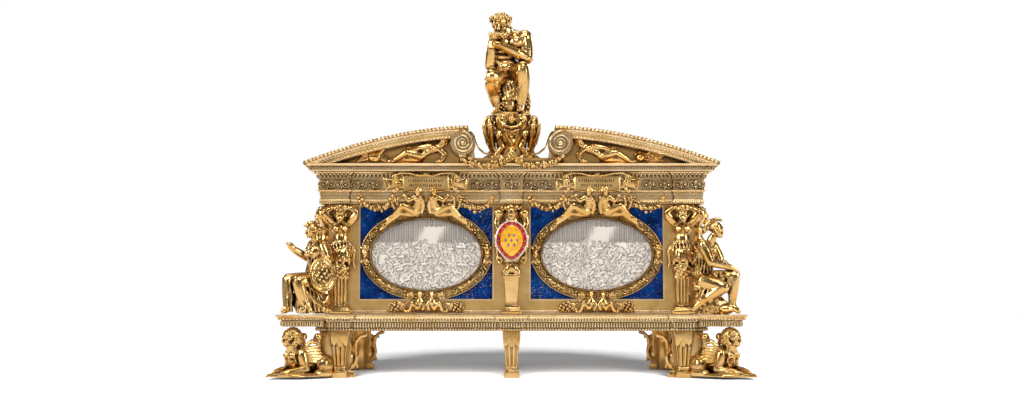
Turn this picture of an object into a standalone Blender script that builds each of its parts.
"""Gilt reliquary casket on legs, with lapis panels, oval crystals, herms, corner figures and a crowned lid.

Metres, +Z up, the front faces -Y, and the origin is on the floor under the middle of the chest.
"""

import math

import bmesh
import bpy
from mathutils import Matrix, Vector

# Clearance between pieces that touch
GAP = 0.0003
# Clearance of carved forms, whose thinned skins wander a little
CARVED_GAP = 0.0007

# Chest walls
WALL_HALF_X = 0.200
WALL_HALF_Y = 0.110
WALL_THICK = 0.006
WALL_HEIGHT = 0.1194

# Legs and plinth
LEG_HEIGHT = 0.0504
LEG_TOP_WIDTH = 0.0194
LEG_FOOT_WIDTH = 0.0162
LEG_DEPTH = 0.018
FOOT_HEIGHT = 0.007
PLINTH_HEIGHT = 0.0177
PLINTH_STEP = 0.0085
PLINTH_PROJECTION = 0.006
PIER_STEP = 0.0045
FLOOR_THICK = 0.004
LEG_SETBACK = 0.003

# Piers, measured along each wall
PIER_X = 0.1858
PIER_Y = 0.0915
PIER_HALF = 0.0114
CENTRE_PIER_HALF = 0.0125

# Diagonal arms that carry the corner figures
ARM_TIP_OUT = 0.0355
ARM_FACE = 0.0175
ARM_DROP = 0.0046

# Entablature
ENTABLATURE_HEIGHT = 0.0346
ENTABLATURE_STEP = 0.0065
ENTABLATURE_PIER_STEP = 0.003
ENTABLATURE_PROJECTION = 0.0036
END_BLOCK = 0.0335

# Panels and their fittings
PANEL_CENTRE_X = 0.0930
PANEL_WIDTH = 0.144
PANEL_HEIGHT = 0.100
PANEL_RISE = 0.0166
PANEL_DEPTH = 0.003
CRYSTAL_HALF_WIDTH = 0.0600
CRYSTAL_HALF_HEIGHT = 0.0387
CRYSTAL_DOME = 0.0030
CRYSTAL_STANDS_OUT = 0.0012
RING_WIDTH = 0.0115
RING_DEPTH = 0.0042
OVAL_SIDES = 22
ORNAMENT_HALF_WIDTH = 0.0765
SIDE_ORNAMENT_HALF_WIDTH = PANEL_WIDTH / 2

# Lid
CORONA_HEIGHT = 0.0082
CORONA_STEP = 0.0090
CORONA_PROJECTION = 0.0034
LID_WALL = 0.0045
ROOF_TIP_OUT = 0.0033
ROOF_TIP_RISE = 0.0016
ROOF_RISE = 0.0388
ROOF_INNER_X = 0.0472
ROOF_DEPTH_FALL = 0.0118
ROOF_FACETS = 9
VOLUTE_RADIUS = 0.0130
VOLUTE_SIDES = 12
PLATFORM_RISE = 0.0080
TYMPANUM_SETBACK = 0.0199

# Crowning group
PEDESTAL_HEIGHT = 0.0617
PEDESTAL_HALF = 0.0345
STATUE_HEIGHT = 0.1225

# Figures
HERM_DEPTH = 0.0180
SEATED_HEIGHT = 0.1035
SPHINX_LENGTH = 0.0795
SLAB_THICK = 0.0042
TYMPANUM_FIGURE_DEPTH = 0.0115
SHIELD_HALF_WIDTH = 0.0180
SHIELD_HALF_HEIGHT = 0.0225
SHIELD_THICK = 0.0045
SHIELD_RISE = 0.0790

# Triangles left on each carved form
FRAME_TRIANGLES = 215
SIDE_FRAME_TRIANGLES = 225
HERM_TRIANGLES = 96
PEDESTAL_TRIANGLES = 280
STATUE_TRIANGLES = 380
SEATED_TRIANGLES = 190
SPHINX_TRIANGLES = 160
RECLINING_TRIANGLES = 104
GARLAND_TRIANGLES = 100

# Heights that follow from the sizes above
PLINTH_TOP = LEG_HEIGHT + PLINTH_HEIGHT
WALL_BASE = PLINTH_TOP + GAP
WALL_TOP = WALL_BASE + WALL_HEIGHT
ENTABLATURE_BASE = WALL_TOP + GAP
ENTABLATURE_TOP = ENTABLATURE_BASE + ENTABLATURE_HEIGHT
LID_BASE = ENTABLATURE_TOP + GAP
CORONA_TOP = LID_BASE + CORONA_HEIGHT
PLATFORM_TOP = CORONA_TOP + PLATFORM_RISE
PEDESTAL_BASE = PLATFORM_TOP + CARVED_GAP
STATUE_BASE = PEDESTAL_BASE + PEDESTAL_HEIGHT + CARVED_GAP

# Planes that follow from the sizes above
FLOOR_TOP = PLINTH_TOP - 0.0016
PIER_PLANE_X = WALL_HALF_X + PLINTH_STEP + PIER_STEP
PIER_PLANE_Y = WALL_HALF_Y + PLINTH_STEP + PIER_STEP
CORNICE_X = WALL_HALF_X + ENTABLATURE_STEP + ENTABLATURE_PIER_STEP
CORNICE_Y = WALL_HALF_Y + ENTABLATURE_STEP + ENTABLATURE_PIER_STEP
CORONA_X = CORNICE_X + CORONA_STEP
CORONA_Y = CORNICE_Y + CORONA_STEP
CORONA_TOP_X = CORONA_X + CORONA_PROJECTION
ROOF_TIP_X = CORONA_TOP_X + ROOF_TIP_OUT
CORNICE_FACE_Y = CORONA_Y + CORONA_PROJECTION + ROOF_TIP_OUT
TYMPANUM_Y = CORONA_Y + CORONA_PROJECTION - TYMPANUM_SETBACK
VOLUTE_X = ROOF_INNER_X + 0.43 * VOLUTE_RADIUS
VOLUTE_Z = CORONA_TOP + ROOF_TIP_RISE + ROOF_RISE - 1.40 * VOLUTE_RADIUS
PANEL_CENTRE_Z = WALL_BASE + PANEL_RISE + PANEL_HEIGHT / 2
CRYSTAL_CENTRE_Z = PANEL_CENTRE_Z - 0.0018


def clear_scene():
    for item in list(bpy.data.objects):
        bpy.data.objects.remove(item, do_unlink=True)


def named_collection(name):
    found = bpy.data.collections.new(name)
    bpy.context.scene.collection.children.link(found)
    return found


def surface(name, colour, metallic, roughness):
    """A plain Principled material."""
    made = bpy.data.materials.new(name)
    made.use_nodes = True
    shader = made.node_tree.nodes["Principled BSDF"]
    shader.inputs["Base Color"].default_value = (*colour, 1.0)
    shader.inputs["Metallic"].default_value = metallic
    shader.inputs["Roughness"].default_value = roughness
    return made


clear_scene()
CASKET = named_collection("reliquary_casket")
CUTTERS = named_collection("cutters")
GILT = surface("gilt_silver", (0.72, 0.48, 0.16), 1.0, 0.28)
LAPIS = surface("lapis_lazuli", (0.010, 0.040, 0.220), 0.0, 0.35)
CRYSTAL = surface("rock_crystal", (0.80, 0.79, 0.78), 0.0, 0.10)
ENAMEL = surface("enamelled_gold", (0.45, 0.04, 0.04), 0.2, 0.25)


def object_of(name, bm, material=GILT, collection=CASKET):
    """One object from a bmesh whose faces are turned outwards."""
    bmesh.ops.remove_doubles(bm, verts=bm.verts, dist=0.000001)
    bmesh.ops.recalc_face_normals(bm, faces=bm.faces)
    mesh = bpy.data.meshes.new(name)
    bm.to_mesh(mesh)
    bm.free()
    mesh.materials.append(material)
    made = bpy.data.objects.new(name, mesh)
    collection.objects.link(made)
    return made


def settle(item):
    """Replaces the object's mesh by what its modifiers make of it."""
    bpy.context.view_layer.update()
    graph = bpy.context.evaluated_depsgraph_get()
    mesh = bpy.data.meshes.new_from_object(item.evaluated_get(graph))
    item.modifiers.clear()
    item.data = mesh
    return item


def combine(item, others, operation, solver="EXACT"):
    """Adds or cuts the other objects, which are used up."""
    for other in others:
        step = item.modifiers.new(operation.lower(), "BOOLEAN")
        step.operation = operation
        step.solver = solver
        step.object = other
    settle(item)
    for other in others:
        bpy.data.objects.remove(other, do_unlink=True)
    return item


def copy_of(item, name, matrix):
    """Another object with the same mesh, placed by a matrix."""
    made = bpy.data.objects.new(name, item.data)
    made.matrix_world = matrix
    CASKET.objects.link(made)
    return made


def helper(bm):
    """An object that only shapes another one."""
    made = object_of("helper", bm, GILT, CUTTERS)
    made.hide_render = True
    made.display_type = "WIRE"
    return made


def add_box(bm, low, high):
    """A box between two corners."""
    low, high = Vector(low), Vector(high)
    size = high - low
    place = Matrix.Translation((low + high) / 2) @ Matrix.Diagonal((*size, 1))
    bmesh.ops.create_cube(bm, size=1.0, matrix=place)


def box(low, high):
    bm = bmesh.new()
    add_box(bm, low, high)
    return helper(bm)


def add_loft(bm, rings, closed=False):
    """Skins rings of equal length. The ends are capped unless the last ring joins the first."""
    rows = [[bm.verts.new(point) for point in ring] for ring in rings]
    if closed:
        rows.append(rows[0])
    for low, high in zip(rows, rows[1:]):
        for i in range(len(low)):
            j = (i + 1) % len(low)
            bm.faces.new((low[i], low[j], high[j], high[i]))
    if not closed:
        bm.faces.new(list(reversed(rows[0])))
        bm.faces.new(rows[-1])


def offset(outline, distance):
    """The outline moved outwards, with mitred corners."""
    moved = []
    count = len(outline)
    for i, point in enumerate(outline):
        here = Vector(point)
        before = here - Vector(outline[i - 1])
        after = Vector(outline[(i + 1) % count]) - here
        first = Vector((before.y, -before.x)).normalized()
        second = Vector((after.y, -after.x)).normalized()
        moved.append(here + (first + second) * distance / (1 + first.dot(second)))
    return moved


def four_quarters(quarter):
    """A whole outline from its front right quarter, mirrored over both axes."""
    right = quarter + [(x, -y) for x, y in reversed(quarter)]
    return right + [(-x, y) for x, y in reversed(right)]


def rectangle(half_x, half_y):
    return four_quarters([(half_x, -half_y)])


def level(outline, z):
    return [(point[0], point[1], z) for point in outline]


def moulded_rings(outline, profile, base):
    return [level(offset(outline, out), base + z) for out, z in profile]


def ellipse(half_x, half_z, count, centre=(0.0, 0.0)):
    turn = 2 * math.pi / count
    return [
        (centre[0] + half_x * math.cos(i * turn), centre[1] + half_z * math.sin(i * turn))
        for i in range(count)
    ]


def add_ball(bm, centre, radii, turn=(0, 0, 0), segments=12):
    """An ellipsoid turned by degrees about X, Y and Z."""
    angles = [math.radians(a) for a in turn]
    place = Matrix.Translation(Vector(centre))
    for axis, angle in zip("ZYX", reversed(angles)):
        place = place @ Matrix.Rotation(angle, 4, axis)
    place = place @ Matrix.Diagonal((*radii, 1))
    bmesh.ops.create_uvsphere(
        bm, u_segments=segments, v_segments=segments * 2 // 3, radius=1.0, matrix=place
    )


def add_limb(bm, *joints):
    """Tapered round lengths through joints of (x, y, z, radius)."""
    for joint in joints:
        add_ball(bm, joint[:3], (joint[3],) * 3, segments=10)
    for start, end in zip(joints, joints[1:]):
        a, b = Vector(start[:3]), Vector(end[:3])
        along = b - a
        turn = along.to_track_quat("Z", "Y").to_matrix().to_4x4()
        bmesh.ops.create_cone(
            bm,
            cap_ends=True,
            segments=10,
            radius1=start[3],
            radius2=end[3],
            depth=along.length,
            matrix=Matrix.Translation((a + b) / 2) @ turn,
        )


def add_hoop(bm, centre, radii, thick, count=12, start=0.0, end=360.0):
    """A round bar bent along an arc in the plane of X and Z, through centre (x, y, z)."""
    points = []
    for i in range(count + 1):
        angle = math.radians(start + (end - start) * i / count)
        x = centre[0] + radii[0] * math.cos(angle)
        z = centre[2] + radii[1] * math.sin(angle)
        points.append((x, centre[1], z, thick))
    add_limb(bm, *points)


def modelled(name, draw, unit, voxel):
    """A carved form: the shapes that draw adds, in units, melted into one skin."""
    bm = bmesh.new()
    draw(bm)
    bmesh.ops.scale(bm, vec=(unit, unit, unit), verts=bm.verts)
    made = object_of(name, bm)
    melt = made.modifiers.new("melt", "REMESH")
    melt.mode = "VOXEL"
    melt.voxel_size = voxel
    melt.use_smooth_shade = True
    return settle(made)


def is_closed(mesh):
    """Whether each edge joins exactly two faces."""
    uses = {}
    for face in mesh.polygons:
        for key in face.edge_keys:
            uses[key] = uses.get(key, 0) + 1
    return all(count == 2 for count in uses.values())


def weld_slivers(item):
    """Draws together points much closer than the skin's own mesh."""
    bm = bmesh.new()
    bm.from_mesh(item.data)
    bmesh.ops.dissolve_degenerate(bm, dist=0.00004, edges=bm.edges)
    bmesh.ops.triangulate(bm, faces=bm.faces)
    bm.to_mesh(item.data)
    bm.free()
    return item


def drop_crumbs(item):
    """Removes specks that a cut left beside the main body."""
    bm = bmesh.new()
    bm.from_mesh(item.data)
    left = set(bm.verts)
    bodies = []
    while left:
        front = [left.pop()]
        body = []
        while front:
            vert = front.pop()
            body.append(vert)
            near = [edge.other_vert(vert) for edge in vert.link_edges]
            near = [other for other in near if other in left]
            left.difference_update(near)
            front += near
        bodies.append(body)
    bodies.sort(key=len)
    for body in bodies[:-1]:
        bmesh.ops.delete(bm, geom=body, context="VERTS")
    bm.to_mesh(item.data)
    bm.free()


def thinned(item, triangles):
    """Leaves about so many triangles on a carved form, a few more where thinning pinches it open."""
    weld_slivers(item)
    dense = item.data
    dense.calc_loop_triangles()
    ratio = triangles / len(dense.loop_triangles)
    for _ in range(12):
        thin = item.modifiers.new("thin", "DECIMATE")
        thin.ratio = ratio
        settle(item)
        drop_crumbs(item)
        if is_closed(item.data):
            break
        item.data = dense
        ratio *= 1.04
    return item


def carve(item, others, operation="DIFFERENCE"):
    """Adds or cuts on a dense carved skin, where the exact solver leaves hairline gaps."""
    return combine(item, others, operation, "MANIFOLD")


def trimmed(item, low, high):
    """Keeps only what lies in a box, so that the faces that meet a neighbour are flat."""
    return carve(item, [box(low, high)], "INTERSECT")


QUARTER_TURNS = [Matrix.Rotation(math.radians(90 * i), 4, "Z") for i in range(4)]
MIRROR_X = Matrix.Diagonal((-1, 1, 1, 1))
MIRROR_Y = Matrix.Diagonal((1, -1, 1, 1))
CORNERS = {
    "front_right": Matrix.Identity(4),
    "front_left": MIRROR_X,
    "back_right": MIRROR_Y,
    "back_left": MIRROR_X @ MIRROR_Y,
}


def on_each_corner(item, stem):
    """Three more copies of the front right piece, and its own name."""
    item.name = stem + "_front_right"
    for corner, matrix in CORNERS.items():
        if corner != "front_right":
            copy_of(item, stem + "_" + corner, matrix @ item.matrix_world)


def plinth_quarter():
    """Outline of the plinth's core, which steps forward at each pier."""
    x, y = WALL_HALF_X + PLINTH_STEP, WALL_HALF_Y + PLINTH_STEP
    return [
        (CENTRE_PIER_HALF, -PIER_PLANE_Y),
        (CENTRE_PIER_HALF, -y),
        (PIER_X - PIER_HALF, -y),
        (PIER_X - PIER_HALF, -PIER_PLANE_Y),
        (PIER_X + PIER_HALF, -PIER_PLANE_Y),
        (PIER_X + PIER_HALF, -y),
        (x, -y),
        (x, -PIER_Y - PIER_HALF),
        (PIER_PLANE_X, -PIER_Y - PIER_HALF),
        (PIER_PLANE_X, -PIER_Y + PIER_HALF),
        (x, -PIER_Y + PIER_HALF),
    ]


def moulding_profile(height, projection):
    """Bead, fluted band, ovolo and top fillet, as projection and height."""
    return [
        (0.0, 0.0),
        (0.20 * projection, 0.06 * height),
        (0.0, 0.18 * height),
        (0.08 * projection, 0.22 * height),
        (0.20 * projection, 0.52 * height),
        (0.55 * projection, 0.60 * height),
        (0.92 * projection, 0.86 * height),
        (projection, 0.90 * height),
        (projection, height),
    ]


def arm_outline():
    """The diagonal arm at the front right, from inside the plinth to its square tip."""
    tip_x, tip_y = WALL_HALF_X + PLINTH_STEP + ARM_TIP_OUT, WALL_HALF_Y + ARM_TIP_OUT
    back = ARM_TIP_OUT + PLINTH_STEP
    return [
        (tip_x - ARM_FACE - back, -tip_y + back),
        (tip_x - ARM_FACE, -tip_y),
        (tip_x, -tip_y),
        (tip_x, -tip_y + ARM_FACE),
        (tip_x - back, -tip_y + ARM_FACE + back),
    ]


def make_plinth():
    """Moulded base with a recessed underside, a floor plate and the four diagonal arms."""
    core = four_quarters(plinth_quarter())
    profile = moulding_profile(PLINTH_HEIGHT, PLINTH_PROJECTION)
    bm = bmesh.new()
    add_loft(bm, moulded_rings(core, profile, LEG_HEIGHT))
    plinth = object_of("plinth_moulding", bm)
    arms = []
    for matrix in CORNERS.values():
        bm = bmesh.new()
        outline = [matrix @ Vector((x, y, 0)) for x, y in arm_outline()]
        outline = [(p.x, p.y) for p in outline]
        if matrix.determinant() < 0:
            outline.reverse()
        arm_profile = moulding_profile(PLINTH_HEIGHT - ARM_DROP, PLINTH_PROJECTION)
        add_loft(bm, moulded_rings(outline, arm_profile[3:], LEG_HEIGHT + ARM_DROP))
        arms.append(helper(bm))
    combine(plinth, arms, "UNION")
    x, y = WALL_HALF_X - WALL_THICK - GAP, WALL_HALF_Y - WALL_THICK - GAP
    shelf = box((-x, -y, FLOOR_TOP), (x, y, PLINTH_TOP + 1))
    x, y = WALL_HALF_X - LEG_DEPTH, WALL_HALF_Y - LEG_DEPTH
    under = box((-x, -y, 0), (x, y, FLOOR_TOP - FLOOR_THICK))
    return combine(plinth, [shelf, under], "DIFFERENCE")


def make_walls():
    """Four walls with shallow recesses for the lapis panels."""
    outer = rectangle(WALL_HALF_X, WALL_HALF_Y)
    inner = rectangle(WALL_HALF_X - WALL_THICK, WALL_HALF_Y - WALL_THICK)
    bm = bmesh.new()
    add_loft(
        bm,
        [
            level(outer, WALL_BASE),
            level(outer, WALL_TOP),
            level(inner, WALL_TOP),
            level(inner, WALL_BASE),
        ],
        closed=True,
    )
    walls = object_of("chest_walls", bm)
    half, tall = PANEL_WIDTH / 2 + GAP, PANEL_HEIGHT / 2 + GAP
    recesses = []
    for _, matrix in panel_places():
        bm = bmesh.new()
        low = (-half, -PANEL_DEPTH, PANEL_CENTRE_Z - tall)
        high = (half, PANEL_DEPTH, PANEL_CENTRE_Z + tall)
        add_box(bm, low, high)
        bmesh.ops.transform(bm, matrix=wall_plane(matrix, PANEL_DEPTH), verts=bm.verts)
        recesses.append(helper(bm))
    return combine(walls, recesses, "DIFFERENCE")


def wall_plane(matrix, inwards=0.0):
    """The matrix with its origin moved into the wall."""
    return matrix @ Matrix.Translation((0, inwards - PANEL_DEPTH, 0))


def panel_places():
    """Name and place of each panel: the origin is on the wall's face, with -Y outwards."""
    front = Matrix.Translation((0, -WALL_HALF_Y, 0))
    side = Matrix.Translation((0, -WALL_HALF_X, 0))
    left, right = Matrix.Translation((-PANEL_CENTRE_X, 0, 0)), Matrix.Translation((PANEL_CENTRE_X, 0, 0))
    return [
        ("front_left", front @ left),
        ("front_right", front @ right),
        ("right", QUARTER_TURNS[1] @ side),
        ("back_right", QUARTER_TURNS[2] @ front @ left),
        ("back_left", QUARTER_TURNS[2] @ front @ right),
        ("left", QUARTER_TURNS[3] @ side),
    ]


def upright(points, y):
    """Points of (x, z) stood up at a depth."""
    return [(x, y, z) for x, z in points]


def make_lapis_panel():
    """A stone plate with an oval opening for the crystal, standing in its recess."""
    back, front = -GAP, -PANEL_DEPTH + GAP
    low = (-PANEL_WIDTH / 2, front, PANEL_CENTRE_Z - PANEL_HEIGHT / 2)
    high = (PANEL_WIDTH / 2, back, PANEL_CENTRE_Z + PANEL_HEIGHT / 2)
    bm = bmesh.new()
    add_box(bm, low, high)
    panel = object_of("lapis_panel", bm, LAPIS)
    hole = ellipse(
        CRYSTAL_HALF_WIDTH + GAP, CRYSTAL_HALF_HEIGHT + GAP, OVAL_SIDES, (0, CRYSTAL_CENTRE_Z)
    )
    bm = bmesh.new()
    add_loft(bm, [upright(hole, -PANEL_DEPTH), upright(hole, PANEL_DEPTH)])
    return combine(panel, [helper(bm)], "DIFFERENCE")


def make_crystal():
    """An oval plaque with a gently domed face."""
    bm = bmesh.new()
    rings = []
    depths = [(1.0, -GAP), (1.0, -PANEL_DEPTH - CRYSTAL_STANDS_OUT)]
    depths += [(0.60, -PANEL_DEPTH - CRYSTAL_STANDS_OUT - CRYSTAL_DOME)]
    for share, y in depths:
        oval = ellipse(
            share * CRYSTAL_HALF_WIDTH, share * CRYSTAL_HALF_HEIGHT, OVAL_SIDES, (0, CRYSTAL_CENTRE_Z)
        )
        rings.append(upright(oval, y))
    add_loft(bm, rings)
    return object_of("crystal", bm, CRYSTAL)


def make_ring():
    """The flat oval band round the crystal, with a raised inner rim."""
    back = -PANEL_DEPTH - CARVED_GAP
    profile = [
        (CARVED_GAP, back),
        (CARVED_GAP, back - RING_DEPTH),
        (0.16 * RING_WIDTH, back - RING_DEPTH),
        (0.92 * RING_WIDTH, back - 0.45 * RING_DEPTH),
        (RING_WIDTH, back),
    ]
    rings = []
    for out, y in profile:
        oval = ellipse(
            CRYSTAL_HALF_WIDTH + out, CRYSTAL_HALF_HEIGHT + out, OVAL_SIDES, (0, CRYSTAL_CENTRE_Z)
        )
        rings.append(upright(oval, y))
    bm = bmesh.new()
    add_loft(bm, rings, closed=True)
    return object_of("oval_frame", bm)


def draw_frame_ornament(bm):
    """Reclining pair, swags, end masks and satyrs, in millimetres from the crystal's centre."""
    for side in (-1, 1):
        add_limb(bm, (side * 7, -11.5, 63, 3.4), (side * 9, -6.5, 52, 5.4), (side * 10, -3.0, 43, 4.8))
        add_limb(bm, (side * 12, -3, 42, 4.2), (side * 25, -4, 49, 3.4), (side * 41, -2, 35, 2.4))
        add_limb(bm, (side * 10, -11.5, 60, 2.6), (side * 27, -12, 65, 2.2))
        add_limb(bm, (side * 6, -9, 58, 2.6), (side * 4, -4, 42, 2.4))
        add_ball(bm, (side * 8, -13, 65.5), (3.9, 3.9, 4.4))
        add_hoop(bm, (side * 54.5, -10.2, 66), (21, 14.5), 3.8, 7, 188, 352)
        add_limb(bm, (side * 34, -9, 55, 3), (side * 30, -4, 46, 3))
        add_limb(bm, (side * 33, -11, 62, 4.0), (side * 28, -6, 51, 4.0), (side * 24, -3, 48, 3.4))
        add_ball(bm, (side * 67, -2.5, 1), (6.0, 4.0, 8.0))
        add_limb(bm, (side * 7.5, -3.0, -48, 3.6), (side * 9, -3, -58, 3.2), (side * 21, -2, -60, 2.4))
        add_ball(bm, (side * 16, -2.5, -45), (4.6, 3.2, 4.6))
        add_ball(bm, (side * 34, -2.5, -57), (6.0, 4.0, 4.6))
        add_limb(bm, (side * 18, -2, -50, 3.0), (side * 33, -2, -56, 3.0))
        add_ball(bm, (side * 49, -1.5, -29), (9, 2.4, 3.4), (0, side * -35, 0))
        add_ball(bm, (side * 49, -1.5, 29), (9, 2.4, 3.4), (0, side * 35, 0))


def draw_tablet(bm):
    """The inscribed tablet with scrolled ends, in millimetres from the crystal's centre."""
    add_box(bm, (-24, -13.6, 69.5), (24, -10.7, 84))
    for side in (-1, 1):
        add_ball(bm, (side * 31, -11.5, 77), (11, 3.4, 6.0), (0, side * 25, 0))
        add_limb(bm, (side * 34, -12, 84, 2.6), (side * 20, -12, 87.5, 2.2), (side * 3, -12, 84, 2.0))
        add_limb(bm, (side * 9, -12, 72, 3.0), (side * 8, -12, 64, 3.4))
        add_limb(bm, (side * 31, -12, 73, 3.2), (side * 33, -12, 62, 3.4))


def make_frame(half_width, name, triangles):
    """Ring and ornament in one casting, kept clear of the wall, the entablature and the lid."""
    unit = 0.001

    def draw(bm):
        draw_frame_ornament(bm)
        draw_tablet(bm)

    ornament = modelled("ornament", draw, unit, 0.0010)
    back = -PANEL_DEPTH - CARVED_GAP
    lift = Matrix.Translation((0, back, CRYSTAL_CENTRE_Z))
    ornament.data.transform(lift)
    low = (-half_width, -0.03, WALL_BASE + 0.0020)
    high = (half_width, back - 0.0004, LID_BASE - 2 * CARVED_GAP)
    trimmed(ornament, low, high)
    clear = ENTABLATURE_STEP + ENTABLATURE_PROJECTION + CARVED_GAP + PANEL_DEPTH
    above = box((-1, -clear, ENTABLATURE_BASE - CARVED_GAP), (1, 0.05, 1))
    carve(ornament, [above])
    inset = 0.08 * RING_WIDTH
    hole = ellipse(
        CRYSTAL_HALF_WIDTH + inset, CRYSTAL_HALF_HEIGHT + inset, 29, (0, CRYSTAL_CENTRE_Z)
    )
    bm = bmesh.new()
    add_loft(bm, [upright(hole, -0.03), upright(hole, 0.03)])
    carve(ornament, [helper(bm)])
    frame = make_ring()
    frame.name = name
    thinned(carve(frame, [ornament], "UNION"), triangles)
    seat = ellipse(
        CRYSTAL_HALF_WIDTH + CARVED_GAP,
        CRYSTAL_HALF_HEIGHT + CARVED_GAP,
        OVAL_SIDES,
        (0, CRYSTAL_CENTRE_Z),
    )
    bm = bmesh.new()
    add_loft(bm, [upright(seat, -0.03), upright(seat, 0.03)])
    return weld_slivers(carve(frame, [helper(bm)]))


def make_panels():
    """A lapis panel, a crystal and a frame at each of the six places."""
    lapis, crystal = make_lapis_panel(), make_crystal()
    wide = make_frame(ORNAMENT_HALF_WIDTH, "frame", FRAME_TRIANGLES)
    narrow = make_frame(SIDE_ORNAMENT_HALF_WIDTH, "side_frame", SIDE_FRAME_TRIANGLES)
    for place, matrix in panel_places():
        on_wall = matrix @ Matrix.Translation((0, PANEL_DEPTH, 0))
        copy_of(lapis, "lapis_panel_" + place, on_wall)
        copy_of(crystal, "crystal_" + place, on_wall)
        frame = narrow if place in ("left", "right") else wide
        copy_of(frame, "oval_frame_" + place, on_wall)
    for item in (lapis, crystal, wide, narrow):
        bpy.data.objects.remove(item, do_unlink=True)


def entablature_quarter():
    """Outline of the entablature's core, with a block at each corner and over the centre pier."""
    x, y = WALL_HALF_X + ENTABLATURE_STEP, WALL_HALF_Y + ENTABLATURE_STEP
    return [
        (CENTRE_PIER_HALF, -CORNICE_Y),
        (CENTRE_PIER_HALF, -y),
        (CORNICE_X - END_BLOCK, -y),
        (CORNICE_X - END_BLOCK, -CORNICE_Y),
        (CORNICE_X, -CORNICE_Y),
        (CORNICE_X, -CORNICE_Y + END_BLOCK),
        (x, -CORNICE_Y + END_BLOCK),
    ]


def make_entablature():
    """Capital band, stepped architrave, frieze and bed mouldings, as a ring on the walls."""
    core = four_quarters(entablature_quarter())
    h, p = ENTABLATURE_HEIGHT, ENTABLATURE_PROJECTION
    profile = [
        (-0.55 * p, 0.0),
        (-0.15 * p, 0.14 * h),
        (-0.35 * p, 0.16 * h),
        (-0.15 * p, 0.36 * h),
        (0.25 * p, 0.44 * h),
        (0.0, 0.47 * h),
        (0.0, 0.76 * h),
        (0.45 * p, 0.84 * h),
        (0.45 * p, 0.92 * h),
        (p, h),
    ]
    bm = bmesh.new()
    add_loft(bm, moulded_rings(core, profile, ENTABLATURE_BASE))
    entablature = object_of("entablature", bm)
    x, y = WALL_HALF_X - WALL_THICK, WALL_HALF_Y - WALL_THICK
    return combine(entablature, [box((-x, -y, 0), (x, y, 1))], "DIFFERENCE")


def tapered_leg(bm, depth):
    """A fluted leg that narrows to a square foot, with its back at Y = 0 and its face at -depth."""
    top, foot = LEG_TOP_WIDTH / 2, LEG_FOOT_WIDTH / 2
    neck = FOOT_HEIGHT * 1.7
    levels = [
        (foot, 0.0, 0.0),
        (foot, 0.0, 0.8 * FOOT_HEIGHT),
        (0.80 * foot, 0.15, FOOT_HEIGHT),
        (0.78 * top, 0.06, 0.62 * LEG_HEIGHT),
        (top, 0.0, 0.84 * LEG_HEIGHT),
        (top, 0.0, LEG_HEIGHT - GAP),
    ]
    rings = []
    for half, back, z in levels:
        face = -depth * (1 - back)
        fluted = 0.0 if z < neck or z > 0.83 * LEG_HEIGHT else 0.06 * depth
        ring = [(-half, 0.0), (-half, face)]
        for i in range(1, 4):
            ring.append((-half + half * i / 2, face + fluted * (i % 2)))
        ring += [(half, face), (half, 0.0)]
        rings.append(level(ring, z))
    add_loft(bm, rings)


def scroll_bracket(thick):
    """An S-shaped bracket on the inner side of a leg, from its top down to a small volute."""
    outline = []
    reach = 0.022
    for i in range(5):
        t = i / 4
        outline.append((-reach * (1 - t) ** 2 - 0.001 * t, 0.92 * LEG_HEIGHT - 0.62 * LEG_HEIGHT * t))
    volute = 0.0062
    middle_x, middle_z = -0.55 * volute, FOOT_HEIGHT + volute
    for i in range(5):
        angle = math.radians(80 + 44 * i)
        outline.append((middle_x + volute * math.cos(angle), middle_z + volute * math.sin(angle)))
    outline += [(0.002, FOOT_HEIGHT * 0.9), (0.004, 0.92 * LEG_HEIGHT)]
    bm = bmesh.new()
    add_loft(bm, [upright(outline, -thick / 2), upright(outline, thick / 2)])
    return bm


def make_corner_supports():
    """Two legs at right angles on one block, with a scroll bracket inside each."""
    face_y, face_x = PIER_PLANE_Y - LEG_SETBACK, PIER_PLANE_X - LEG_SETBACK
    bm = bmesh.new()
    tapered_leg(bm, LEG_DEPTH)
    bmesh.ops.translate(bm, vec=(PIER_X, -face_y + LEG_DEPTH, 0), verts=bm.verts)
    support = object_of("corner_support", bm)
    bm = bmesh.new()
    tapered_leg(bm, LEG_DEPTH)
    turn = Matrix.Translation((face_x - LEG_DEPTH, -PIER_Y, 0)) @ QUARTER_TURNS[1]
    bmesh.ops.transform(bm, matrix=turn, verts=bm.verts)
    side = helper(bm)
    inset = 0.0035
    core = box(
        (PIER_X - 0.004, -face_y + inset, 0.0002),
        (face_x - inset, -PIER_Y + 0.004, LEG_HEIGHT - 2 * GAP),
    )
    inner = scroll_bracket(0.008)
    bmesh.ops.translate(
        inner, vec=(PIER_X - 0.006, -face_y + LEG_DEPTH - 0.003, 0), verts=inner.verts
    )
    other = scroll_bracket(0.008)
    place = Matrix.Translation((face_x - LEG_DEPTH + 0.003, -PIER_Y + 0.006, 0))
    bmesh.ops.transform(other, matrix=place @ QUARTER_TURNS[3], verts=other.verts)
    combine(support, [core, side, helper(inner), helper(other)], "UNION")
    on_each_corner(support, "corner_support")


def make_centre_legs():
    face = PIER_PLANE_Y - LEG_SETBACK
    for name, turn in (("centre_leg_front", 0), ("centre_leg_back", 2)):
        bm = bmesh.new()
        tapered_leg(bm, LEG_DEPTH)
        bmesh.ops.translate(bm, vec=(0, -face + LEG_DEPTH, 0), verts=bm.verts)
        bmesh.ops.transform(bm, matrix=QUARTER_TURNS[turn], verts=bm.verts)
        object_of(name, bm)


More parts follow.
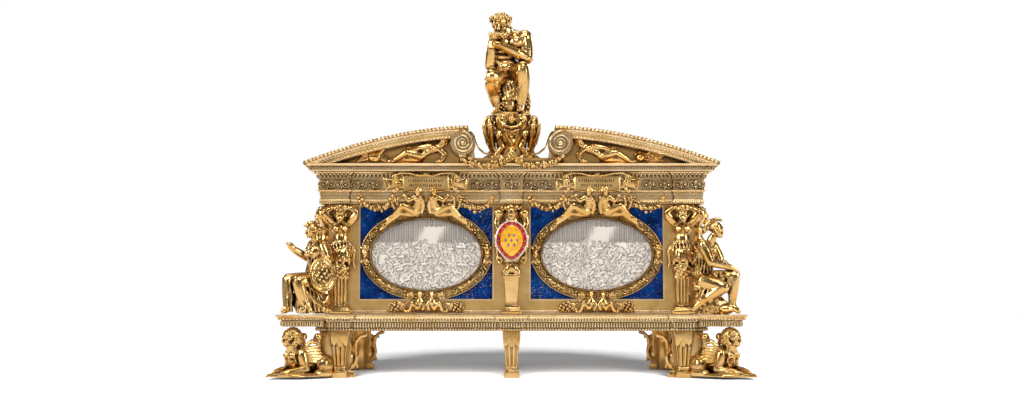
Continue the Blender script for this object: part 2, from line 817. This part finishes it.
def draw_herm(bm):
    """A woman with raised arms on a tapered shaft, in hundredths of her height, back at Y = 0."""
    add_box(bm, (-10.5, -13.5, 0), (10.5, 2, 3.4))
    add_box(bm, (-8.4, -11.5, 3), (8.4, 2, 7))
    add_limb(bm, (0, -2.5, 8, 5.2), (0, -3.5, 40, 6.6))
    add_ball(bm, (0, -5, 44), (8.5, 7.5, 9))
    add_ball(bm, (0, -4, 56), (11, 7.5, 9))
    add_ball(bm, (0, -4.5, 67), (8, 6, 8))
    add_ball(bm, (0, -4.5, 78), (9.5, 6, 8))
    for side in (-1, 1):
        add_ball(bm, (side * 4.2, -9.5, 79), (3.4, 3, 3.2))
        add_ball(bm, (side * 9.5, -5.5, 50), (4, 5, 9), (0, side * -14, 0))
        add_limb(bm, (side * 8, -4.5, 84, 3.6), (side * 13.4, -5.5, 95, 2.9), (side * 5, -4, 98.5, 2.4))
    add_limb(bm, (0, -5, 84, 3.2), (0, -6, 90, 3.0))
    add_ball(bm, (0, -7.5, 93), (4.8, 5, 5.2))
    add_ball(bm, (0, -6, 96), (6.5, 6, 3.6))


def draw_centre_herm(bm):
    """Head and folded shoulders above a shield, on a plain shaft, in hundredths of the height."""
    add_box(bm, (-9.5, -12.5, 0), (9.5, 2, 3.4))
    add_box(bm, (-7.2, -10.5, 3), (7.2, 2, 7))
    add_limb(bm, (0, -2.5, 8, 4.6), (0, -3.5, 32, 6.0))
    add_ball(bm, (0, -5, 40), (8.5, 6, 8))
    add_ball(bm, (0, -2, 60), (12, 4.5, 24))
    add_limb(bm, (0, -3, 74, 8), (0, -4, 90, 7))
    add_limb(bm, (-13, -5, 91, 3.5), (13, -5, 91, 3.5))
    for side in (-1, 1):
        add_ball(bm, (side * 12.5, -6, 92), (6.6, 5, 4.8), (0, side * -20, 0))
        add_ball(bm, (side * 13, -3.5, 78), (4.6, 4, 6))
        add_limb(bm, (side * 12, -4, 90, 4), (side * 12, -3, 76, 4))
        add_ball(bm, (side * 9.5, -5, 44), (3.2, 4, 5))
    add_ball(bm, (0, -8.5, 93.5), (4.6, 5, 5.4))
    add_ball(bm, (0, -5, 97), (9, 6, 3.6))


def make_herms():
    """Eight herms at the corners and two behind the shields."""
    height = WALL_HEIGHT - 2 * CARVED_GAP
    wide = 0.0188
    for name, draw in (("herm", draw_herm), ("centre_herm", draw_centre_herm)):
        herm = modelled(name, draw, height / 100, 0.0010)
        herm.data.transform(Matrix.Translation((0, 0, WALL_BASE + CARVED_GAP)))
        low = (-wide, -HERM_DEPTH, WALL_BASE + CARVED_GAP)
        high = (wide, -CARVED_GAP, WALL_TOP - CARVED_GAP)
        thinned(trimmed(herm, low, high), HERM_TRIANGLES)
        front = Matrix.Translation((0, -WALL_HALF_Y, 0))
        side = Matrix.Translation((0, -WALL_HALF_X, 0))
        if name == "centre_herm":
            copy_of(herm, "centre_herm_front", front)
            copy_of(herm, "centre_herm_back", QUARTER_TURNS[2] @ front)
        else:
            for label, turn in (("front", 0), ("back", 2)):
                for hand, x in (("left", -PIER_X), ("right", PIER_X)):
                    across = x if turn == 0 else -x
                    place = QUARTER_TURNS[turn] @ front @ Matrix.Translation((across, 0, 0))
                    copy_of(herm, "herm_" + label + "_" + hand, place)
            for label, turn in (("right", 1), ("left", 3)):
                for hand, y in (("front", -PIER_Y), ("back", PIER_Y)):
                    across = y if turn == 1 else -y
                    place = QUARTER_TURNS[turn] @ side @ Matrix.Translation((across, 0, 0))
                    copy_of(herm, "herm_" + label + "_side_" + hand, place)
        bpy.data.objects.remove(herm, do_unlink=True)


def shield_outline():
    """A shield broad above and pointed below, as (x, z) about its middle."""
    points = []
    for i in range(14):
        angle = math.pi * 2 * i / 14
        z = math.sin(angle)
        narrow = 1.0 if z > 0 else 1.0 - 0.35 * z * z
        points.append((SHIELD_HALF_WIDTH * math.cos(angle) * narrow, SHIELD_HALF_HEIGHT * z))
    return points


def make_shields():
    """An enamelled shield in front of each centre herm."""
    back = WALL_HALF_Y + HERM_DEPTH + GAP
    middle = WALL_BASE + SHIELD_RISE
    for name, turn in (("enamel_shield_front", 0), ("enamel_shield_back", 2)):
        rings = []
        for share, y in ((0.94, 0.0), (1.0, 0.4), (0.93, 0.8), (0.45, 1.0)):
            ring = [(share * x, middle + share * z) for x, z in shield_outline()]
            rings.append(upright(ring, -back - y * SHIELD_THICK))
        bm = bmesh.new()
        add_loft(bm, rings)
        bmesh.ops.transform(bm, matrix=QUARTER_TURNS[turn], verts=bm.verts)
        object_of(name, bm, ENAMEL)


def roof_height(x):
    """Height of the roof's outer face above its tip, for x from the middle."""
    share = max(0.0, min(1.0, (ROOF_TIP_X - abs(x)) / (ROOF_TIP_X - ROOF_INNER_X)))
    return ROOF_RISE * (1.0 - (1.0 - share) ** 1.75)


def roof_points(drop, first_x, last_x, count):
    """Points of (x, z) along the roof's curve, lowered by a drop, from one x to another."""
    base = CORONA_TOP + ROOF_TIP_RISE - drop
    places = [first_x + (last_x - first_x) * i / count for i in range(count + 1)]
    return [(x, base + roof_height(x)) for x in places]


def make_lid():
    """Moulded rim, two curved roof halves that end in volutes, and a flat middle, hollow below."""
    h, p = CORONA_HEIGHT, CORONA_PROJECTION
    profile = [(-p, 0.0), (0.0, 0.10 * h), (0.1 * p, 0.55 * h), (0.9 * p, 0.85 * h), (p, h)]
    bm = bmesh.new()
    add_loft(bm, moulded_rings(rectangle(CORONA_X, CORONA_Y), profile, LID_BASE))
    lid = object_of("lid", bm)
    edge = ROOF_INNER_X + VOLUTE_RADIUS
    low = (-edge, -TYMPANUM_Y, CORONA_TOP - 0.001)
    added = [roof_half(side) for side in (-1, 1)]
    added += [volute(side, turn) for side in (-1, 1) for turn in (-1, 1)]
    added.append(box(low, (edge, TYMPANUM_Y, PLATFORM_TOP)))
    combine(lid, added, "UNION")
    return combine(lid, [roof_hollow()], "DIFFERENCE")


def roof_half(side):
    """One half of the roof, with the curved cornices that run over both tympana."""
    fall = ROOF_DEPTH_FALL
    section = [
        (0.0, CORNICE_FACE_Y),
        (0.22 * fall, CORNICE_FACE_Y),
        (0.30 * fall, CORNICE_FACE_Y - 0.0022),
        (fall, CORNICE_FACE_Y - 0.0055),
        (fall, TYMPANUM_Y),
    ]
    foot = CORONA_TOP - 0.0012
    rings = []
    for x, z in roof_points(0.0, ROOF_TIP_X, ROOF_INNER_X, ROOF_FACETS):
        front = [(side * x, -y, max(z - drop, foot)) for drop, y in section]
        front.append((side * x, -TYMPANUM_Y, foot - 0.0006))
        back = [(side * x, -y, z) for _, y, z in reversed(front)]
        rings.append(front + back)
    bm = bmesh.new()
    add_loft(bm, rings)
    return helper(bm)


def volute(side, turn):
    """The stepped scroll at the inner end of one cornice."""
    centre = (side * VOLUTE_X, VOLUTE_Z)
    rings = []
    levels = ((1.0, 0.0), (1.0, -0.0025), (0.66, -0.0022), (0.62, -0.0008), (0.3, -0.0006), (0.26, 0.0008))
    for share, out in levels:
        y = CORNICE_FACE_Y + out if out else TYMPANUM_Y - 0.002
        disc = ellipse(share * VOLUTE_RADIUS, share * VOLUTE_RADIUS, VOLUTE_SIDES, centre)
        rings.append(upright(disc, turn * y))
    bm = bmesh.new()
    add_loft(bm, rings)
    return helper(bm)


def roof_hollow():
    """The space under the lid, open below, that follows the roof and the flat middle."""
    inner_y = min(TYMPANUM_Y - LID_WALL, WALL_HALF_Y - WALL_THICK - GAP)
    outer_x = WALL_HALF_X - WALL_THICK - GAP
    edge = ROOF_INNER_X + LID_WALL
    half = roof_points(LID_WALL, outer_x, edge, 7)
    half += [(edge, PLATFORM_TOP - LID_WALL)]
    outline = half + [(-x, z) for x, z in reversed(half)]
    outline += [(-outer_x, LID_BASE - 0.01), (outer_x, LID_BASE - 0.01)]
    bm = bmesh.new()
    add_loft(bm, [upright(outline, -inner_y), upright(outline, inner_y)])
    return helper(bm)


def draw_pedestal(bm):
    """Bell of four scrolls over spreading leaves, in hundredths of its height."""
    rise = (0, 12, 34, 62, 80, 92, 100)
    spread = (30, 26, 25, 36, 42, 40, 30)
    rings = []
    for z, half in zip(rise, spread):
        corner = 0.72 * half
        ring = [(corner, -half), (half, -corner), (half, corner), (corner, half)]
        ring += [(-corner, half), (-half, corner), (-half, -corner), (-corner, -half)]
        rings.append(level(ring, z))
    add_loft(bm, rings)
    for i in range(4):
        across, along = math.cos(math.radians(45 + 90 * i)), math.sin(math.radians(45 + 90 * i))
        add_ball(bm, (58 * across, 58 * along, 82), (15, 15, 13))
        add_ball(bm, (40 * across, 40 * along, 58), (13, 13, 12))
        add_limb(bm, (30 * across, 30 * along, 10, 12), (66 * across, 66 * along, 27, 9))
    for i in range(4):
        place = QUARTER_TURNS[i]
        for x, z, r in ((0, 88, 9), (-26, 58, 9), (26, 58, 9), (0, 40, 10), (0, 20, 11)):
            spot = place @ Vector((x, -38 + 0.12 * (88 - z), z))
            add_ball(bm, spot, (r, r, r))
    add_box(bm, (-34, -34, 96), (34, 34, 103))


def make_pedestal():
    unit = PEDESTAL_HEIGHT / 100
    pedestal = modelled("pedestal", draw_pedestal, unit, 0.0014)
    pedestal.data.transform(Matrix.Translation((0, 0, PEDESTAL_BASE)))
    half = PEDESTAL_HALF
    top = PEDESTAL_BASE + PEDESTAL_HEIGHT
    return thinned(trimmed(pedestal, (-half, -half, PEDESTAL_BASE), (half, half, top)), PEDESTAL_TRIANGLES)


def draw_statue(bm):
    """A bearded man seated on a rock, chin on hand, in hundredths of his height."""
    add_ball(bm, (-2, 6, 12), (16, 13, 17))
    add_box(bm, (-17, -13, -4), (14, 14, 2.5))
    add_ball(bm, (-4, 7, 37), (12, 9, 8))
    add_ball(bm, (-7, 1, 48), (10.5, 7.5, 10))
    add_ball(bm, (-2, -1, 67), (14, 9, 12))
    add_ball(bm, (9, 0, 77), (7, 6.5, 6.5))
    add_ball(bm, (-12, 0, 76), (6.5, 6, 6))
    add_limb(bm, (-5, -2, 78, 6), (-11, -6, 85, 5))
    add_ball(bm, (-12, -8, 87.5), (6.8, 7.5, 8.8))
    add_ball(bm, (-11, -11.5, 78), (6.2, 5, 6.5))
    add_ball(bm, (-12, -5, 90), (8.6, 8, 5.5))
    add_hoop(bm, (-12, -6, 94), (9, 1.2), 1.6, 10)
    add_limb(bm, (10, 0, 76, 6), (14.5, -5, 54, 4.6), (-4, -15, 60, 3.4), (-17, -16, 65, 3.2))
    add_limb(bm, (-13, 0, 75, 5.5), (-22, -9, 44, 4.4), (-19, -13, 72, 3.4))
    add_ball(bm, (-18, -14, 76), (4.2, 3.8, 4.6))
    add_limb(bm, (3, 6, 37, 8), (11, -13, 38, 6.2), (9.5, -9, 6, 3.6), (9.5, -15, 2.5, 2.8))
    add_limb(bm, (-10, 6, 35, 8), (-22, -13, 28, 6.6), (-15, -5, 6, 3.6), (-15, -11, 2.5, 2.8))
    add_ball(bm, (10, -10, 24), (5, 5.2, 9))
    add_ball(bm, (-18, -8, 19), (5, 5.2, 8))
    add_limb(bm, (15, 2, 4, 4), (16, 4, 18, 3.4))


def make_statue():
    unit = STATUE_HEIGHT / 98.5
    statue = modelled("statue", draw_statue, unit, 0.0013)
    statue.data.transform(Matrix.Translation((0, 0, STATUE_BASE)))
    reach = 0.036
    top = STATUE_BASE + STATUE_HEIGHT
    return thinned(trimmed(statue, (-reach, -reach, STATUE_BASE), (reach, reach, top)), STATUE_TRIANGLES)


def draw_woman(bm):
    """Seated woman with an outstretched hand and an oval shield, in hundredths of her height.

    X runs outwards, -Y to the front, and the origin is on the seat.
    """
    add_ball(bm, (-12, 6, 16), (12, 10, 18))
    add_ball(bm, (2, -3, 18), (15, 11, 20))
    add_ball(bm, (-11, 8, 35), (10.5, 10, 10))
    add_ball(bm, (-9, 5, 50), (8, 8, 11))
    add_ball(bm, (-12, 5, 67), (9.5, 9.5, 10.5))
    add_limb(bm, (-11, 5, 76, 3.6), (-9, 4, 84, 3.4))
    add_ball(bm, (-6, 3, 89.5), (6, 5.8, 7))
    add_ball(bm, (-9, 4.5, 92), (6.6, 6.4, 6))
    add_limb(bm, (-8, 3, 96, 3), (-3, 2, 97.5, 2.2), (2, 1, 94, 1.8))
    add_ball(bm, (-14, 7, 88), (3.8, 3.8, 4.2))
    add_limb(bm, (-18, -1, 74, 5), (-26, -6, 60, 4), (-24, -12, 50, 3.2))
    add_limb(bm, (-5, 12, 74, 4.8), (-1, 7, 60, 3.8), (16, -3, 71, 2.6))
    add_ball(bm, (18, -3.5, 72), (2.6, 2.4, 2.8))
    add_ball(bm, (-22, -14, 41), (12, 3, 17.5), (-6, 0, 6))
    add_limb(bm, (-8, 12, 36, 7), (18, -8, 36, 5.6), (16.5, -10, 6, 4.2), (20, -13, 3, 2.8))
    add_limb(bm, (-12, 2, 36, 7.5), (5, -14, 32, 6.2), (-2, -12, 6, 4.6), (1, -16, 3, 2.8))
    add_limb(bm, (16, -8, 30, 5), (18, -10, 8, 4.6))
    add_limb(bm, (-22, 0, 16, 5.5), (-16, -6, 5, 5))


def draw_warrior(bm):
    """Helmeted warrior seated on a rock, a hand on the raised knee, in hundredths of the height."""
    add_ball(bm, (-6, 0, 9), (17, 12, 15))
    add_ball(bm, (-17, 4, 14), (10, 9, 14))
    add_ball(bm, (-16, 6, 34), (12, 10, 10))
    add_ball(bm, (-17, 5, 48), (9, 8, 11))
    add_ball(bm, (-12, 3, 66), (11, 10, 12))
    add_limb(bm, (-7, 2, 76, 4), (-3, 0, 84, 3.6))
    add_ball(bm, (0, -1, 89), (6, 5.8, 6.8))
    add_ball(bm, (-2, 0, 93), (7, 6.6, 6))
    add_limb(bm, (-10, 3, 96, 1.8), (-4, 1, 101, 2.2), (2, 0, 101.5, 1.8))
    add_limb(bm, (-17, -5, 74, 5.5), (-9, -11, 54, 4.2), (16, -8, 48.5, 3))
    add_limb(bm, (-3, 9, 73, 5), (4, 6, 56, 4), (16, -2, 47, 3))
    add_limb(bm, (-14, 8, 37, 7.5), (17, -5, 40, 5.8), (13.5, -6, 9, 3.8), (18, -10, 3, 2.8))
    add_limb(bm, (-17, -1, 35, 8), (4, -12, 28, 6.2), (-20, -8, 13, 3.8), (-28, -5, 6, 3.2))
    add_ball(bm, (14, -5.5, 26), (5, 5, 8))
    add_ball(bm, (-20, 0, 24), (8, 7, 8))


def herm_keep_out():
    """Boxes round the walls and the herms, which the corner figures stay clear of."""
    reach = PIER_HALF + 0.0012
    tall = WALL_TOP + 0.01
    front = WALL_HALF_Y + HERM_DEPTH + CARVED_GAP
    side = WALL_HALF_X + HERM_DEPTH + CARVED_GAP
    wall = WALL_HALF_X + CARVED_GAP, -WALL_HALF_Y - CARVED_GAP
    wide = 0.0175
    return [
        box((0.0, wall[1], 0.0), (wall[0], 0.0, tall)),
        box((0.0, -front, 0.0), (PIER_X + reach, 0.0, tall)),
        box((0.0, -PIER_Y - reach, 0.0), (side, 0.0, tall)),
        box((0.0, -front, 0.15), (PIER_X + wide, 0.0, tall)),
        box((0.0, -PIER_Y - wide, 0.15), (side + 0.01, 0.0, tall)),
    ]


def make_seated_figures():
    """A woman at each left corner and a warrior at each right one."""
    unit = SEATED_HEIGHT / 103
    seat = PLINTH_TOP + CARVED_GAP + GAP
    centre = Vector((WALL_HALF_X + 0.022, -WALL_HALF_Y - 0.022, seat))
    for name, draw, mirror in (("woman", draw_woman, MIRROR_X), ("warrior", draw_warrior, Matrix())):
        figure = modelled("seated_" + name, draw, unit, 0.0011)
        figure.data.transform(Matrix.Translation(centre))
        trimmed(figure, (0.15, -0.19, seat), (0.26, -0.06, seat + SEATED_HEIGHT))
        thinned(carve(figure, herm_keep_out()), SEATED_TRIANGLES)
        figure.name = "seated_" + name + "_front"
        figure.matrix_world = mirror
        copy_of(figure, "seated_" + name + "_back", MIRROR_Y @ mirror)


def draw_sphinx(bm):
    """Crouching winged sphinx, in hundredths of the slab's length. X is forward, origin on the floor."""
    add_ball(bm, (54, 0, 30), (13, 13, 15))
    add_limb(bm, (52, 0, 24, 12), (18, 0, 20, 12))
    add_limb(bm, (57, 0, 36, 8), (60, 0, 48, 6.5))
    add_ball(bm, (62, 0, 55), (10, 8.5, 11))
    add_ball(bm, (57, 0, 57), (12, 12, 11))
    for side in (-1, 1):
        add_ball(bm, (18, side * 20, 16), (13, 8, 14))
        add_limb(bm, (20, side * 24, 8, 5), (32, side * 24, 8, 5))
        add_limb(bm, (55, side * 14, 34, 6.5), (50, side * 17, 12, 6), (80, side * 11, 9, 4.6))
        add_ball(bm, (84, side * 10, 8.5), (6, 4.5, 4))
        add_ball(bm, (36, side * 14, 36), (13, 5, 10), (0, 30, 0))
        add_ball(bm, (28, side * 14, 52), (6, 5, 7))
        add_limb(bm, (36, side * 14, 34, 5), (28, side * 14, 50, 4))
        add_limb(bm, (62, side * 18, 6, 3.5), (88, side * 3, 6, 3.5))
    add_box(bm, (14, -22, 4), (80, 22, 7))


def slab_outline():
    """Plan of the sphinx's slab at the front right: square tip, flanks at 45 degrees, notched foot."""
    tip_x, tip_y = WALL_HALF_X + SPHINX_LENGTH * 0.717, -WALL_HALF_Y - SPHINX_LENGTH * 0.692
    face = 0.0356
    leg_x = PIER_X + LEG_TOP_WIDTH / 2 + GAP
    leg_y = -PIER_Y - LEG_TOP_WIDTH / 2 - GAP
    core_x = PIER_PLANE_X - LEG_SETBACK + GAP
    core_y = -PIER_PLANE_Y + LEG_SETBACK - GAP
    return [
        (tip_x, tip_y),
        (tip_x, tip_y + face),
        (core_x + 0.026, core_y + 0.012),
        (core_x, leg_y),
        (core_x, core_y),
        (leg_x, core_y),
        (tip_x - face - 0.016, tip_y + 0.016),
        (tip_x - face, tip_y),
    ]


def make_sphinxes():
    """A sphinx on its slab under each arm, clear of the legs and of the arm above."""
    unit = SPHINX_LENGTH / 100
    sphinx = modelled("sphinx", draw_sphinx, unit, 0.0011)
    place = Matrix.Translation((WALL_HALF_X, -WALL_HALF_Y, 0)) @ Matrix.Rotation(math.radians(-45), 4, "Z")
    sphinx.data.transform(place)
    top = LEG_HEIGHT + ARM_DROP - CARVED_GAP
    trimmed(sphinx, (0.15, -0.2, SLAB_THICK / 2), (0.3, -0.05, top))
    bm = bmesh.new()
    outline = list(reversed(slab_outline()))
    add_loft(bm, [level(outline, 0.0), level(outline, SLAB_THICK)])
    carve(sphinx, [helper(bm)], "UNION")
    leg_x = PIER_X + LEG_TOP_WIDTH / 2 + CARVED_GAP
    leg_y = -PIER_Y - LEG_TOP_WIDTH / 2 - CARVED_GAP
    face_y = PIER_PLANE_Y - LEG_SETBACK + CARVED_GAP
    face_x = PIER_PLANE_X - LEG_SETBACK + CARVED_GAP
    under_y = -PIER_PLANE_Y - PLINTH_PROJECTION - CARVED_GAP
    under_x = PIER_PLANE_X + PLINTH_PROJECTION + CARVED_GAP
    clear = [
        box((0, -face_y, -1), (leg_x, 0, 1)),
        box((0, leg_y, -1), (face_x, 0, 1)),
        box((0, -face_y, -1), (face_x, 0, 1)),
        box((0, under_y, LEG_HEIGHT - CARVED_GAP), (under_x, 0, 1)),
    ]
    thinned(carve(sphinx, clear), SPHINX_TRIANGLES)
    on_each_corner(sphinx, "sphinx")


def draw_reclining(bm):
    """A nude reclining against the volute, in hundredths of his length, feet towards +X."""
    add_ball(bm, (12, -8, 26), (6.5, 6.5, 7))
    add_limb(bm, (15, -8, 22, 4), (20, -8, 19, 7))
    add_ball(bm, (24, -8, 19), (10, 7, 9), (0, 30, 0))
    add_ball(bm, (36, -8, 12), (9, 6.5, 7))
    add_limb(bm, (38, -9, 11, 6), (48, -11, 14, 5), (68, -7, 3.5, 2.8))
    add_limb(bm, (38, -7, 9, 6), (52, -7, 7, 4.4), (58, -8, 3.5, 2.6))
    add_limb(bm, (18, -8, 20, 4.2), (10, -8, 10, 3.4), (16, -9, 3.5, 2.6))
    add_limb(bm, (26, -8, 22, 4), (40, -10, 21, 3.2), (50, -9, 19, 2.6))


def draw_bird(bm):
    add_ball(bm, (86, -7, 8), (8, 5, 7))
    add_limb(bm, (82, -7, 10, 3.6), (77, -8, 17, 2.8), (73, -8, 18, 1.8))
    add_limb(bm, (88, -6, 10, 4), (98, -6, 11, 4), (108, -5, 4, 3.4))
    add_limb(bm, (84, -6, 9, 4), (77, -6, 8, 3.6), (71, -5, 3, 3))
    add_limb(bm, (60, -5, 2.0, 2.8), (106, -5, 2.0, 2.8))


def draw_trophy(bm):
    add_ball(bm, (90, -6, 8), (11, 5, 7))
    add_ball(bm, (77, -6, 6), (7, 6, 6))
    add_limb(bm, (60, -5, 2.0, 2.8), (108, -5, 2.0, 3))


def make_tympanum_figures():
    """A reclining nude with a bird at the left, and with a trophy at the right, on both fronts."""
    unit = 0.001
    wall_y = TYMPANUM_Y
    base = CORONA_TOP + CARVED_GAP
    start = ROOF_INNER_X + 1.43 * VOLUTE_RADIUS
    for side, name, extra in ((-1, "bird", draw_bird), (1, "trophy", draw_trophy)):

        def draw(bm, extra=extra):
            draw_reclining(bm)
            extra(bm)

        figure = modelled("reclining", draw, unit, 0.0009)
        figure.data.transform(Matrix.Translation((ROOF_INNER_X + 0.0155, -wall_y, base - 0.0006)))
        low = (start - 0.004, -wall_y - TYMPANUM_FIGURE_DEPTH, base)
        trimmed(figure, low, (CORONA_X - 0.004, -wall_y - CARVED_GAP, base + 1))
        disc = ellipse(
            VOLUTE_RADIUS + CARVED_GAP,
            VOLUTE_RADIUS + CARVED_GAP,
            20,
            (VOLUTE_X, VOLUTE_Z),
        )
        bm = bmesh.new()
        add_loft(bm, [upright(disc, -1), upright(disc, 1)])
        over = roof_points(ROOF_DEPTH_FALL + CARVED_GAP, ROOF_TIP_X, ROOF_INNER_X, 10)
        over += [(ROOF_INNER_X, 1), (ROOF_TIP_X, 1)]
        above = bmesh.new()
        add_loft(above, [upright(over, -1), upright(over, 1)])
        thinned(carve(figure, [helper(bm), helper(above)]), RECLINING_TRIANGLES)
        hand = "left" if side < 0 else "right"
        figure.name = "reclining_" + name + "_front_" + hand
        if side < 0:
            figure.matrix_world = MIRROR_X
        other = "right" if side < 0 else "left"
        copy_of(figure, "reclining_" + name + "_back_" + hand, MIRROR_Y @ figure.matrix_world)


def draw_garland(bm):
    """Two swags of fruit side by side with a knot between them, in millimetres from the rim's top."""
    for side in (-1, 1):
        add_hoop(bm, (side * 30, -2.5, 11.5), (25, 8.5), 4.4, 8, 184, 356)
    add_ball(bm, (0, -3, 8), (8, 4, 7))


def make_garlands():
    """A fruit garland along the front and back edge of the lid's flat middle."""
    wall_y = TYMPANUM_Y
    base = CORONA_TOP + CARVED_GAP
    garland = modelled("garland", draw_garland, 0.001, 0.0010)
    garland.data.transform(Matrix.Translation((0, -wall_y, base)))
    edge = ROOF_INNER_X + 0.0125
    trimmed(garland, (-edge, -wall_y - 0.009, base), (edge, -wall_y - CARVED_GAP, base + 0.0130))
    for side in (-1, 1):
        centre = (side * VOLUTE_X, VOLUTE_Z)
        reach = VOLUTE_RADIUS + 2 * CARVED_GAP
        disc = ellipse(reach, reach, 20, centre)
        bm = bmesh.new()
        add_loft(bm, [upright(disc, -1), upright(disc, 1)])
        carve(garland, [helper(bm)])
    thinned(garland, GARLAND_TRIANGLES)
    garland.name = "lid_garland_front"
    copy_of(garland, "lid_garland_back", QUARTER_TURNS[2])


def main():
    make_plinth()
    make_walls()
    make_entablature()
    make_panels()
    make_corner_supports()
    make_centre_legs()
    make_herms()
    make_shields()
    make_seated_figures()
    make_sphinxes()
    make_lid()
    make_tympanum_figures()
    make_garlands()
    make_pedestal()
    make_statue()
    for item in CASKET.objects:
        item.data.shade_smooth()
        item.data.set_sharp_from_angle(angle=math.radians(40))


main()
